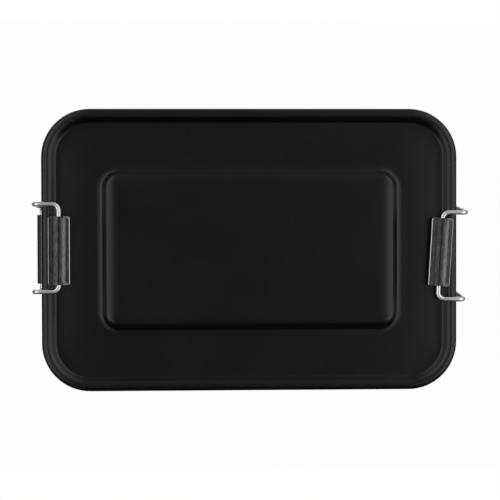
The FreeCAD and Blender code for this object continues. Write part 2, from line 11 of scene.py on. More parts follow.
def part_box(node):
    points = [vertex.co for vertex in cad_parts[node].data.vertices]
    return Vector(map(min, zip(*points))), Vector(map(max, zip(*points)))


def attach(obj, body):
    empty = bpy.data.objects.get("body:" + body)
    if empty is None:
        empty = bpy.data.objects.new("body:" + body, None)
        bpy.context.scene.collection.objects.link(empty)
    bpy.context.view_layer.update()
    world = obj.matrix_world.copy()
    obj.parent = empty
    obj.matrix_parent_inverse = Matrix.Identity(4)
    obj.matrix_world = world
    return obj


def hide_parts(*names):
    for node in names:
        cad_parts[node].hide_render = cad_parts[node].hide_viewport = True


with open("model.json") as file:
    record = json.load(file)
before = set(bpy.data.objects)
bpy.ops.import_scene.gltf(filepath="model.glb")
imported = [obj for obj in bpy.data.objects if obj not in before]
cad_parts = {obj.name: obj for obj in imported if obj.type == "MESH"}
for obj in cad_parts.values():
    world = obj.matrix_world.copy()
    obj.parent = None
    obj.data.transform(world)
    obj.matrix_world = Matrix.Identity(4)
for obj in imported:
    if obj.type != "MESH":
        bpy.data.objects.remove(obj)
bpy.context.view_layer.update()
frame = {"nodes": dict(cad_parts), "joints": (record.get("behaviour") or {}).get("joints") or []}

bl_info = {
    "name": "Metal lunch box",
    "version": (1, 0, 0),
    "blender": (4, 5, 0),
    "location": "3D View > Sidebar > Lunch Box",
    "description": "Dresses the lunch box with coated sheet, wire bails, folded grips and a plain studio",
    "category": "Object",
}

MM = 0.001
QUARTER_TURN = math.pi / 2
LID_LOW, LID_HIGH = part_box("lid")
TUB_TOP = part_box("tub")[1].z
SEAL_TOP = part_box("lid_seal")[1].z
SHEET = 0.8 * MM
SIDES = {"left": -1, "right": 1}
JOINTS = {joint["name"]: joint for joint in frame["joints"]}
WHITE = (1, 1, 1, 1)

# How finely the shapes are drawn. SUPPORT lies between a bend and the first row added on the run beside it,
# and ROW_GAP is the least distance between rows.
ARC_STEP = math.radians(5)
RUN_STEP = 3 * MM
SUPPORT = 0.35 * MM
ROW_GAP = 0.1 * MM
CORNER_CELLS = 16
LONG_CELLS = 52
SHORT_CELLS = 30
GRID_ACROSS = CORNER_CELLS + LONG_CELLS
GRID_UP = CORNER_CELLS + SHORT_CELLS
WIRE_CELLS = 24
GRIP_CELLS = 44
HEM_CELLS = 8
EDGE_CELLS = 4
ROOM_CELLS = 48
ROOM_ROWS = 24
LEAST_CORNER = 0.05 * MM
# Directions and places closer than these count as the same
SAME_WAY = 1e-6
SAME_PLACE = 1e-7

# Rows beside a cut edge: how far in each row lies, and how much each face of the sheet is eased there, in mm
PLATE_END = ((0, 0.25), (0.02, 0.1), (0.1, 0), (0.3, 0), (0.7, 0), (1.3, 0), (2.1, 0), (3.0, 0))
GRIP_END = ((0, 0.1), (0.03, 0.035), (0.1, 0), (0.2, 0), (0.34, 0), (0.5, 0), (0.72, 0), (1.1, 0))
# The same for a cut wire, as depth and size in shares of its radius
WIRE_END = ((0, 0.72), (0.06, 0.88), (0.2, 0.98), (0.3, 1.0))

# Where each surface lies in the noise, so that no two wander alike
SEEDS = {"field": 3, "panel": 11, "wall": 5, "left": 17, "right": 29}
UNDERSIDE = 5
# Most of a noise node's output lies between these
NOISE_LOW, NOISE_HIGH = 0.3, 0.7


def length(name, description, value):
    """A length in metres that a user may change."""
    return FloatProperty(name=name, description=description, default=value, unit="LENGTH", precision=5)


def angle(name, description, degrees):
    """An angle that a user may change."""
    return FloatProperty(name=name, description=description, default=math.radians(degrees), subtype="ANGLE")


def share(name, description, value):
    """A plain number that a user may change."""
    return FloatProperty(name=name, description=description, default=value, precision=4)


def colour(name, description, value):
    """A colour that a user may change."""
    return FloatVectorProperty(
        name=name, description=description, default=value, subtype="COLOR", min=0, max=1)


class LidSizes(bpy.types.PropertyGroup):
    """Sizes of the drawn lid."""

    long_side: length("Length", "Outside length of the lid", LID_HIGH.x - LID_LOW.x)
    short_side: length("Width", "Outside width of the lid", LID_HIGH.y - LID_LOW.y)
    corner: length("Corner", "Radius of the lid's corners, seen from above", 20 * MM)
    foot: length("Skirt edge", "Height of the skirt's lower edge", LID_LOW.z)
    crown: length("Crown", "Height of the raised rim", SEAL_TOP + SHEET)
    sheet: length("Sheet", "Thickness of the sheet", SHEET)
    rim_edge: length("Rim edge", "Radius of the rim's outer edge", 2.2 * MM)
    rim_lean: angle("Rim lean", "Slope of the rim on both sides of its crown line", 15)
    rim_crown: length("Rim crown", "Radius along the rim's crown line", 1.2 * MM)
    rim_height: length("Rim height", "How far the rim's foot lies below the crown", 2.4 * MM)
    rim_width: length("Rim width", "From the outside to the rim's foot on the field", 6.35 * MM)
    rim_slope: angle("Rim slope", "Steepness of the rim's inner slope", 44)
    rim_top: length("Rim top", "Radius above the rim's inner slope", 3.2 * MM)
    rim_foot: length("Rim foot", "Radius below the rim's inner slope", 1.3 * MM)
    field_tilt: angle("Field tilt", "Steepest tilt of the crowned field, beside the rim", 4.5)
    field_rest: angle("Field rest", "Tilt of the crowned field beside the panel", 1.0)
    field_spring: length("Field spring", "Radius of the field's hollow beside the rim", 40 * MM)
    field_crown: length("Field crown", "Radius of the field's crown", 150 * MM)
    panel_long: length("Panel length", "Length of the raised panel at its foot on the field", 126.5 * MM)
    panel_short: length("Panel width", "Width of the raised panel at its foot on the field", 69.9 * MM)
    panel_corner: length("Panel corner", "Radius of the panel's corners at its foot", 10.2 * MM)
    panel_draw: share("Panel draw", "How fast the panel's corners tighten upwards, where 1 is even", 1.4)
    panel_least: length("Panel least corner", "Least radius of the panel's corners", 2 * MM)
    panel_top: length("Panel top", "Height of the panel's top face", LID_HIGH.z + 0.2 * MM)
    panel_slope: angle("Panel slope", "Steepness of the panel's sides", 42)
    panel_foot: length("Panel foot", "Gentle radius round the panel's foot", 5.7 * MM)
    panel_foot_turn: angle("Panel foot turn", "How far the gentle foot turns", 18.5)
    panel_foot_tight: length("Panel foot tight", "Tight radius below the panel's slope", 1.7 * MM)
    panel_edge_tight: length("Panel edge tight", "Tight radius above the panel's slope", 2.4 * MM)
    panel_edge: length("Panel edge", "Gentle radius round the panel's top", 9.5 * MM)
    panel_edge_turn: angle("Panel edge turn", "How far the gentle edge turns", 16)
    panel_crown: length("Panel crown", "Radius of the panel's crown inside its edge", 25 * MM)
    panel_crown_turn: angle("Panel crown turn", "How far the crown turns", 5)
    waviness: length("Waviness", "How far the drawn sheet wanders from flat", 0.04 * MM)
    field_wave: length("Field wave", "Length of the field's waves", 34 * MM)
    panel_wave: length("Panel wave", "Length of the panel's waves", 40 * MM)
    rim_calm: length("Rim calm", "How far from the rim the field's waves are full", 5 * MM)
    foot_calm: length("Foot calm", "How far from the panel's foot the field's waves are full", 3 * MM)
    top_calm: share("Top calm", "How far in the panel's waves are full, as a share of its width", 0.25)


class TubSizes(bpy.types.PropertyGroup):
    """Sizes of the drawn tub."""

    long_side: length("Length", "Outside length of the tub's walls", 165.2 * MM)
    short_side: length("Width", "Outside width of the tub's walls", 109.8 * MM)
    corner: length("Corner", "Radius of the tub's corners, seen from above", 16.6 * MM)
    top: length("Height", "Height of the rolled rim", TUB_TOP)
    sheet: length("Sheet", "Thickness of the sheet", SHEET)
    base_bend: length("Base bend", "Radius between base and walls", 10 * MM)
    curl: length("Curl", "Outside diameter of the rolled rim", 3 * MM)
    curl_wrap: angle("Curl wrap", "How far the rim is rolled", 300)
    waviness: length("Waviness", "How far the drawn walls wander from flat", 0.05 * MM)
    wall_wave: length("Wall wave", "Length of the walls' waves", 38 * MM)
    base_calm: length("Base calm", "How far above the base bend the waves are full", 12 * MM)
    curl_calm: length("Curl calm", "How far below the rolled rim the waves are full", 9 * MM)
    corner_calm: length("Corner calm", "How far from the corners the waves are full", 20 * MM)


class ClipSizes(bpy.types.PropertyGroup):
    """Sizes of the two clips: brackets, bails and grips."""

    wire: length("Wire", "Diameter of the bail wire", 2 * MM)
    pivot_out: length("Pivot out", "How far the pivot lies outside the lid's edge", 0.8 * MM)
    pivot_height: length("Pivot height", "Height of the pivot", 38 * MM)
    leg_gap: length("Leg gap", "From the middle to each wire end in the knuckle", 1.5 * MM)
    half_span: length("Half span", "From the middle to each arm of a bail", 18.0 * MM)
    foot_bend: length("Foot bend", "Bend radius of the wire at its feet and knees", 2.2 * MM)
    bar_bend: length("Bar bend", "Bend radius of the wire at its cross bar", 2.7 * MM)
    bar_height: length("Bar height", "Height of the cross bars when closed", 61.4 * MM)
    plate_width: length("Plate width", "Width of a bracket", 29 * MM)
    plate_sheet: length("Plate sheet", "Thickness of a bracket", 1.0 * MM)
    plate_bend: length("Plate bend", "Bend radius of a bracket", 1.2 * MM)
    plate_corner: length("Plate corner", "Radius of a bracket's lower corners", 3 * MM)
    plate_soft: length("Plate soft", "Radius along a bracket's edges", 0.22 * MM)
    plate_ramp: angle("Plate ramp", "Slope of a bracket below its knuckle", 45)
    knuckle_wrap: angle("Knuckle wrap", "How far a knuckle is rolled round the wire", 290)
    running_fit: length("Running fit", "Gap round the wire", 0.05 * MM)
    grip_length: length("Grip length", "Length of a grip along its bar", 28.2 * MM)
    grip_width: length("Grip width", "Width of a grip across its bar", 9.25 * MM)
    grip_fold: length("Grip fold", "Height of a grip over its folded edges", 2.2 * MM)
    grip_pinch: length("Grip pinch", "Radius of a grip's pinched folds", 0.6 * MM)
    grip_sheet: length("Grip sheet", "Thickness of a grip's sheet", 0.55 * MM)
    grip_crest: length("Grip crest", "Radius over a grip's hump", 8.0 * MM)
    grip_crest_turn: angle("Grip crest turn", "How far each half of the crest turns", 5)
    grip_brow: length("Grip brow", "Radius between a grip's crest and its flanks", 2.2 * MM)
    grip_blend: length("Grip blend", "Radius at the foot of a grip's hump", 1.6 * MM)
    grip_left_lean: angle("Grip left lean", "Steepness of a hump's left flank", 14)
    grip_right_lean: angle("Grip right lean", "Steepness of a hump's right flank", 22)
    grip_shift: length("Grip shift", "How far a grip's hump lies off its middle", 0.4 * MM)
    left_tilt: angle("Left tilt", "How far the left grip has turned on its bar", 6)
    right_tilt: angle("Right tilt", "How far the right grip has turned on its bar", 1.5)
    grip_seam: angle("Grip seam", "Half the open angle under a grip's hump", 35)
    grip_corner: length("Grip corner", "Radius of a grip's corners, seen from above", 0.7 * MM)
    grip_flare: length("Grip flare", "How far a grip's right leaf opens at its cut ends", 0.32 * MM)
    grip_flare_run: length("Grip flare run", "How far the flare reaches in from a cut end", 1.4 * MM)
    flare_start: length("Flare start", "From the hump's crest to where the flare starts", 0.6 * MM)
    flare_rise: length("Flare rise", "How far the flare takes to open", 0.9 * MM)
    flare_stop: length("Flare stop", "From the fold to where the flare stops", 0.7 * MM)
    flare_fall: length("Flare fall", "How far the flare takes to close", 1.0 * MM)
    grip_ripple: length("Grip ripple", "How far the hand-folded sheet wanders", 0.035 * MM)
    ripple_wave: length("Ripple wave", "Length of the ripples along a grip", 5 * MM)
    ripple_across: share("Ripple across", "How many times shorter the ripples are across a grip", 2.2)
    ripple_calm: length("Ripple calm", "How far from a cut end the ripples are full", 1.5 * MM)
    ripple_start: share("Ripple start", "How far the ripples have grown at a cut end", 0.3)
    bare_fold: length("Bare fold", "How far in from a fold the steel is rubbed bare", 0.6 * MM)
    bare_fold_fade: length("Bare fold fade", "How far the bare fold takes to fade", 0.35 * MM)
    bare_outer: share("Bare outer fold", "How bare the fold is that no finger lifts", 0.3)
    # The bright band along each cut end is partly bare cut steel and partly a painted highlight of light
    # catching the cut edge
    bare_end_and_highlight: length("Bare end", "How far in from a cut end the steel is bare", 0.3 * MM)
    bare_end_and_highlight_fade: length("Bare end fade", "How far the bare end takes to fade", 0.2 * MM)
    bare_cut_and_highlight: share("Bare cut", "How bare the cut ends are", 0.25)


class Finishes(bpy.types.PropertyGroup):
    """Colours and gloss of the four finishes."""

    coat: colour("Coat", "Colour of the black coat", (0.0024, 0.0024, 0.0025))
    coat_gloss: share("Coat gloss", "Reflection of the black coat, seen straight on", 0.37)
    coat_rough: share("Coat roughness", "Roughness of the black coat", 0.24)
    wire: colour("Wire", "Colour of the bail wire", (0.74, 0.74, 0.75))
    wire_rough: share("Wire roughness", "Roughness of the bail wire", 0.33)
    grip: colour("Grip", "Colour of the folded grips", (0.107, 0.107, 0.109))
    # The same colour also paints the highlight along the grips' cut ends, besides the bare folds
    grip_bare_and_highlight: colour("Bare grip", "Colour of the folds that fingers rub bright", (0.5, 0.5, 0.505))
    grip_rough: share("Grip roughness", "Roughness of the folded grips", 0.17)
    rubber: colour("Rubber", "Colour of the seal", (0.035, 0.035, 0.036))
    rubber_gloss: share("Rubber gloss", "Reflection of the seal, seen straight on", 0.4)
    rubber_rough: share("Rubber roughness", "Roughness of the seal", 0.7)


class StageSizes(bpy.types.PropertyGroup):
    """Camera, floor and studio light. Directions run from -1 to 1: X to the right, Y to behind, Z up."""

    camera_place: FloatVectorProperty(
        name="Camera place", description="Where the camera stands",
        default=(-39.4 * MM, 22.3 * MM, 857.7 * MM), subtype="TRANSLATION", precision=4)
    camera_turn: FloatVectorProperty(
        name="Camera turn", description="How the camera is turned from looking straight down",
        default=[math.radians(a) for a in (-1.595, -2.824, -0.118)], subtype="EULER", precision=5)
    lens: share("Lens", "Focal length of the camera in millimetres, on a 36 mm frame", 139.35)
    floor: colour("Floor", "Colour of the floor", (0.86, 0.86, 0.86))
    floor_long: length("Floor length", "Length of the floor", 0.25)
    floor_short: length("Floor width", "Width of the floor", 0.2)
    floor_drop: length("Floor drop", "How far the floor lies below the tub's base", 0.05 * MM)
    floor_white: share("Floor white", "How much of the floor is plain white background, without shade", 0.97)
    box_distance: length("Softbox distance", "From the lid to each softbox", 0.9)
    box_length: length("Softbox length", "Length of each softbox, across the light's direction", 1.3)
    box_level: share("Softbox level", "Brightness of the softboxes, where 1 is white", 0.25)
    left_height: angle("Left height", "Height of the left softbox's middle above the table", 40)
    left_spread: angle("Left spread", "Half the angle that the left softbox covers", 12)
    right_height: angle("Right height", "Height of the right softbox's middle above the table", 32)
    right_spread: angle("Right spread", "Half the angle that the right softbox covers", 17)
    room_size: length("Room size", "Radius of the dim room round the table", 3.0)
    room: share("Room", "Brightness of the room overhead", 0.14)
    room_back: share("Room behind", "Brightness added behind the box", 0.18)
    room_sides: share("Room sides", "Brightness added high at the box's ends", 1.12)
    sides_full: share("Sides full", "How far towards an end its light is full", 0.68)
    sides_low: share("Sides low", "Height at which the light at the ends begins", -0.05)
    sides_high: share("Sides high", "Height at which the light at the ends is full", 0.42)
    sides_lean: share("Sides lean", "How much lower that light lies to the right", 0.08)
    room_front: share("Room front", "Share of the room's brightness left low in front of the box", 0.16)
    front_dark: share("Front dark", "How far behind the dark front reaches", -0.80)
    front_light: share("Front light", "How far behind the room has its full brightness", -0.62)
    front_wrap: share("Front wrap", "How much further behind both lie at the ends", 0.22)


def follow(place, heading, steps):
    """Walk runs and bends from a place, as pairs of point and right-hand side.

    A step is a length and no turn for a run, or a radius and a signed turn for a bend.
    """
    place = Vector(place)

    def pair():
        return place.copy(), Vector((math.sin(heading), -math.cos(heading)))

    line = [pair()]
    for size, turn in steps:
        if not turn:
            place = place + size * Vector((math.cos(heading), math.sin(heading)))
            line.append(pair())
            continue
        bend = math.copysign(size, turn)
        middle = place + bend * Vector((-math.sin(heading), math.cos(heading)))
        cells = max(2, math.ceil(abs(turn) / ARC_STEP), math.ceil(abs(turn * bend) / RUN_STEP))
        start = heading
        for step in range(1, cells + 1):
            heading = start + turn * step / cells
            place = middle - bend * Vector((-math.sin(heading), math.cos(heading)))
            line.append(pair())
    return line


def drawn_step(height, tilt, bends_in, bends_out):
    """Runs and bends of a drawn step of some height, and how far it reaches across.

    A bend is a radius and a turn, upwards where it is above zero. The slope between takes the height left.
    """
    slope = tilt + sum(turn for radius, turn in bends_in)
    bends_only = follow((0, 0), tilt, [*bends_in, *bends_out])
    slope_run = (height - bends_only[-1][0].y) / math.sin(slope)
    if slope_run < 0:
        raise RuntimeError("a drawn step is too low for its bends")
    steps = [*bends_in, (slope_run, 0), *bends_out]
    return steps, follow((0, 0), tilt, steps)[-1][0].x


def with_runs(path):
    """Add points on a path's straight runs: close to each end, and at even steps between."""
    filled = [path[0]]
    for (start, side), (end, end_side) in pairwise(path):
        run = (end - start).length
        if run > 3 * SUPPORT and (side - end_side).length < SAME_WAY:
            inner = run - 2 * SUPPORT
            cells = max(1, round(inner / RUN_STEP))
            stops = [(SUPPORT + inner * step / cells) / run for step in range(cells + 1)]
            filled += [(start.lerp(end, stop), side) for stop in stops]
        filled.append((end, end_side))
    return path[:1] + [two for one, two in pairwise(filled) if (two[0] - one[0]).length > SAME_PLACE]


def rounded_ring(half_long, half_short, corner):
    """Points round a rounded rectangle, starting in the middle of the corner at -x and -y."""
    corner = max(corner, LEAST_CORNER)
    ring = []
    for x_side, y_side, start in ((1, -1, -90), (1, 1, 0), (-1, 1, 90), (-1, -1, 180)):
        middle = Vector((x_side * (half_long - corner), y_side * (half_short - corner)))
        for step in range(CORNER_CELLS + 1):
            turn = math.radians(start + 90 * step / CORNER_CELLS)
            ring.append(middle + corner * Vector((math.cos(turn), math.sin(turn))))
        along = Vector((-math.sin(turn), math.cos(turn)))
        half_run, cells = (half_short, SHORT_CELLS) if x_side * y_side < 0 else (half_long, LONG_CELLS)
        end = ring[-1]
        ring.extend(end + along * 2 * (half_run - corner) * step / cells for step in range(1, cells))
    cut = len(ring) - LONG_CELLS - CORNER_CELLS // 2
    return ring[cut:] + ring[:cut]


def placed(name, data):
    """A new object in the scene."""
    made = bpy.data.objects.new(name, data)
    bpy.context.scene.collection.objects.link(made)
    return made


class MeshMaker:
    """Gathers points and faces for one piece."""

    def __init__(self):
        self.points = []
        self.faces = []
        self.face_uvs = []

    def ring(self, points):
        """Add a ring of points and return their numbers."""
        start = len(self.points)
        self.points.extend(Vector(p) for p in points)
        return list(range(start, len(self.points)))

    def face(self, numbers, uvs=None):
        """Add a face; uvs are its corners' places on the flat map."""
        self.faces.append(tuple(numbers))
        if uvs:
            self.face_uvs.append(uvs)

    def stack(self, rings, runs=None, around=None):
        """Join rings one after another with quads.

        On the flat map, runs holds each ring's place, and around that of each point and of the first again.
        """
        for row, (one, two) in enumerate(pairwise(rings)):
            for i in range(len(one)):
                j = (i + 1) % len(one)
                corners = [(row, i), (row, i + 1), (row + 1, i + 1), (row + 1, i)]
                uvs = runs and [(runs[along], around[across]) for along, across in corners]
                self.face((one[i], one[j], two[j], two[i]), uvs)

    def close(self, *rings):
        """Close small rings with one flat face each."""
        for ring in rings:
            self.face(ring, self.face_uvs and [(0, 0)] * len(ring))

    def cap(self, ring, height_of):
        """Close a rounded rectangle's ring with a grid of quads, drawn evenly between its four sides."""
        low = ring[:GRID_ACROSS + 1]
        right = ring[GRID_ACROSS:GRID_ACROSS + GRID_UP + 1]
        high = ring[GRID_ACROSS + GRID_UP:2 * GRID_ACROSS + GRID_UP + 1][::-1]
        left = ring[:1] + ring[2 * GRID_ACROSS + GRID_UP:][::-1]
        at = {number: self.points[number].to_2d() for number in ring}
        rows = [low]
        for j in range(1, GRID_UP):
            v = j / GRID_UP
            row = []
            for i in range(1, GRID_ACROSS):
                u = i / GRID_ACROSS
                place = at[low[i]].lerp(at[high[i]], v) + at[left[j]].lerp(at[right[j]], u)
                place -= at[low[0]].lerp(at[low[-1]], u).lerp(at[high[0]].lerp(at[high[-1]], u), v)
                inset = min(i, GRID_ACROSS - i, j, GRID_UP - j) / min(GRID_ACROSS, GRID_UP)
                row += self.ring([(*place, height_of(*place, inset))])
            rows.append([left[j], *row, right[j]])
        for one, two in pairwise([*rows, high]):
            for i in range(GRID_ACROSS):
                self.face((one[i], one[i + 1], two[i + 1], two[i]))

    def piece(self, name, material, uv_name=None, wear=None):
        """Make the object, smooth and with its faces turned outwards; the last argument gives each point a
        number for bare steel and painted highlight.
        """
        mesh = bpy.data.meshes.new(name)
        mesh.from_pydata(self.points, [], self.faces)
        if uv_name:
            layer = mesh.uv_layers.new(name=uv_name)
            flat = [corner for face in self.face_uvs for corner in face]
            for loop, corner in zip(layer.data, flat):
                loop.uv = corner
        # A number per point for bare steel and painted highlight, which the grips' material reads
        if wear:
            mesh.attributes.new("wear", "FLOAT", "POINT").data.foreach_set("value", wear)
        made = bmesh.new()
        made.from_mesh(mesh)
        bmesh.ops.recalc_face_normals(made, faces=made.faces)
        made.to_mesh(mesh)
        made.free()
        if mesh.validate():
            raise RuntimeError("%s has faulty faces" % name)
        mesh.shade_smooth()
        mesh.materials.append(material)
        return placed(name, mesh)


def stand_for(piece, node, body):
    """Let a piece stand for its node and move with its body."""
    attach(piece, body)
    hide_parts(node)


def eased(distance, run):
    """Ease from 0 to 1 while a distance grows from 0 to a run."""
    value = min(max(distance / run, 0), 1)
    return value * value * (3 - 2 * value)


def wander(x, y, seed, size):
    """Slow, even wandering of a sheet, from about -1 to 1, with a quicker and weaker one over it."""
    quicker, weaker, apart = 2.3, 0.4, 7
    slow = noise.noise(Vector((x / size, y / size, seed)))
    quick = noise.noise(Vector((quicker * x / size, quicker * y / size, seed + apart)))
    return slow + weaker * quick


def corner_cut(radius, from_end):
    """How far a rounded corner draws in the edge of a strip, at a distance from the strip's end."""
    rest = max(radius - from_end, 0)
    return radius - math.sqrt(max(radius ** 2 - rest ** 2, 0))


def sheet_shell(name, outer, inner, ring_of, shift, cap_height):
    """Make a closed drawn sheet in black coat from its two paths, which run from its open edge to its middle.

    ring_of gives the ring's outline at a path point, and shift moves a point off the even shape.
    """
    maker = MeshMaker()
    middle = (outer[0] + inner[0]) / 2
    half = (outer[0] - inner[0]) / 2
    back = (outer[0] - outer[1]).normalized() * half.length
    turns = [math.pi * step / HEM_CELLS for step in range(1, HEM_CELLS)]
    hem = [middle - half * math.cos(turn) + back * math.sin(turn) for turn in turns]
    rings = [maker.ring(Vector((*p, place.y)) + shift(p, place) for p in ring_of(place.x))
             for place in (*reversed(inner), *hem, *outer)]
    maker.stack(rings)
    maker.cap(rings[0], lambda x, y, inset: inner[-1].y + cap_height(x, y, inset))
    maker.cap(rings[-1], lambda x, y, inset: outer[-1].y + cap_height(x, y, inset))
    return maker.piece(name, finish("black_coat_satin"))


class Nodes:
    """Short words for a material made of nodes."""

    def __init__(self, name):
        self.material = bpy.data.materials.new(name)
        self.material.use_nodes = True
        self.tree = self.material.node_tree
        self.tree.nodes.clear()

    def add(self, kind, sockets=None, **settings):
        """Add a node with its settings, and put numbers, colours or other nodes' outputs on its sockets."""
        node = self.tree.nodes.new("ShaderNode" + kind)
        for key, value in settings.items():
            setattr(node, key, value)
        for key, value in (sockets or {}).items():
            if isinstance(value, bpy.types.NodeSocket):
                self.tree.links.new(value, node.inputs[key])
            else:
                node.inputs[key].default_value = value
        return node

    def finish(self, shader):
        """Show a shader on the surface, and return the material."""
        self.add("OutputMaterial", {"Surface": shader.outputs[0]})
        return self.material

    def grain(self, scale, detail, roughness=0.5, uv_name=None):
        """Noise from 0 to 1 over the piece, or over its flat map if that is named."""
        if uv_name:
            place = self.add("UVMap", uv_map=uv_name).outputs["UV"]
        else:
            place = self.add("TexCoord").outputs["Object"]
        place = self.add("Mapping", {"Vector": place, "Scale": scale}).outputs["Vector"]
        sockets = {"Vector": place, "Scale": 1.0, "Detail": detail, "Roughness": roughness}
        return self.add("TexNoise", sockets, noise_dimensions="3D").outputs["Fac"]

    def math(self, operation, one, two=0.0):
        """Work out a number from one or two others."""
        return self.add("Math", {0: one, 1: two}, operation=operation).outputs["Value"]

    def ranged(self, value, start, end, low, high, way="SMOOTHSTEP"):
        """Take a number from between start and end to between low and high."""
        sockets = {"Value": value, "From Min": start, "From Max": end, "To Min": low, "To Max": high}
        return self.add("MapRange", sockets, interpolation_type=way).outputs["Result"]

    def uneven(self, level, *parts):
        """A level that noises make uneven, each by its own amount."""
        total = None
        for value, amount in parts:
            base = level if total is None else 0
            part = self.ranged(value, NOISE_LOW, NOISE_HIGH, base - amount, base + amount, "LINEAR")
            total = part if total is None else self.math("ADD", total, part)
        return total

    def mixed(self, value, dark, light):
        """Mix two colours by a number; the sockets go by number, as their names stand for other kinds too."""
        return self.add("Mix", {0: value, 6: dark, 7: light}, data_type="RGBA").outputs[2]

    def bumps(self, *parts):
        """Raise the surface by noises, one over the other, each with its own height."""
        under = {}
        for value, height in parts:
            node = self.add("Bump", {"Strength": 1.0, "Distance": height, "Height": value, **under})
            under = {"Normal": node.outputs["Normal"]}
        return under["Normal"]


def shade(values, factor=1.0):
    """A colour made lighter or darker, as a socket takes it."""
    return (*(min(v * factor, 1) for v in values), 1)


def black_coat(nodes, look):
    """Satin black coat with a faint orange peel, a fine grain and uneven gloss."""
    cloud = nodes.grain((45, 45, 45), detail=3)
    grain = nodes.grain((2600, 2600, 2600), detail=2)
    peel = nodes.grain((620, 620, 620), detail=1)
    return {
        "Base Color": nodes.mixed(cloud, shade(look.coat, 0.75), shade(look.coat, 1.3)),
        "Roughness": nodes.uneven(look.coat_rough, (cloud, 0.025), (grain, 0.03)),
        "Normal": nodes.bumps((peel, 0.0035 * MM), (grain, 0.0012 * MM)),
        "Specular IOR Level": look.coat_gloss,
    }


def drawn_wire(nodes, look):
    """Drawn spring wire: long fine streaks and a bright, slightly uneven surface."""
    streak = nodes.grain((60, 26, 1), detail=3, uv_name="wire_run")
    patch = nodes.grain((320, 320, 320), detail=3)
    return {
        "Base Color": nodes.mixed(streak, shade(look.wire, 0.8), shade(look.wire, 1.14)),
        "Roughness": nodes.uneven(look.wire_rough, (streak, 0.05), (patch, 0.05)),
        "Normal": nodes.bumps((streak, 0.006 * MM)),
        "Metallic": 1.0,
    }


def brushed_steel(nodes, look):
    """Folded strip steel, brushed along its length, with faint marks of folding and folds worn bare; its cut
    ends are partly bare steel and partly a painted highlight.
    """
    brushed = nodes.grain((55, 3200, 1), detail=3, roughness=0.6, uv_name="strip_run")
    patch = nodes.grain((380, 1400, 1), detail=3, uv_name="strip_run")
    streaks = nodes.uneven(0.5, (patch, 0.5), (brushed, 0.3))
    steel = nodes.mixed(streaks, shade(look.grip, 0.65), shade(look.grip, 1.35))
    # Per point: bare folds, and cut ends that are partly bare steel and partly a painted highlight
    bare = nodes.add("Attribute", attribute_name="wear").outputs["Fac"]
    return {
        "Base Color": nodes.mixed(bare, steel, shade(look.grip_bare_and_highlight)),
        "Roughness": nodes.uneven(look.grip_rough, (brushed, 0.05), (patch, 0.04)),
        "Normal": nodes.bumps((patch, 0.012 * MM), (brushed, 0.0018 * MM)),
        "Metallic": 1.0,
    }


def soft_rubber(nodes, look):
    """Soft moulded rubber with a dull, finely grained skin."""
    cloud = nodes.grain((160, 160, 160), detail=3)
    grain = nodes.grain((3200, 3200, 3200), detail=2)
    return {
        "Base Color": nodes.mixed(cloud, shade(look.rubber, 0.8), shade(look.rubber, 1.25)),
        "Roughness": nodes.uneven(look.rubber_rough, (grain, 0.08)),
        "Normal": nodes.bumps((grain, 0.004 * MM)),
        "Specular IOR Level": look.rubber_gloss,
    }


FINISHES = {
    "black_coat_satin": black_coat,
    "spring_wire_drawn": drawn_wire,
    "grip_steel_brushed": brushed_steel,
    "seal_rubber_soft": soft_rubber,
}


def finish(name):
    """The finish of that name, made the first time it is asked for."""
    made = bpy.data.materials.get(name)
    if made is None:
        nodes = Nodes(name)
        sockets = FINISHES[name](nodes, bpy.context.scene.lunch_box_finishes)
        made = nodes.finish(nodes.add("BsdfPrincipled", sockets))
    return made


def finish_node(node, name):
    """Give a CAD node a finish in all its slots."""
    piece = frame["nodes"][node]
    if not piece.material_slots:
        piece.data.materials.append(None)
    for slot in piece.material_slots:
        slot.material = finish(name)


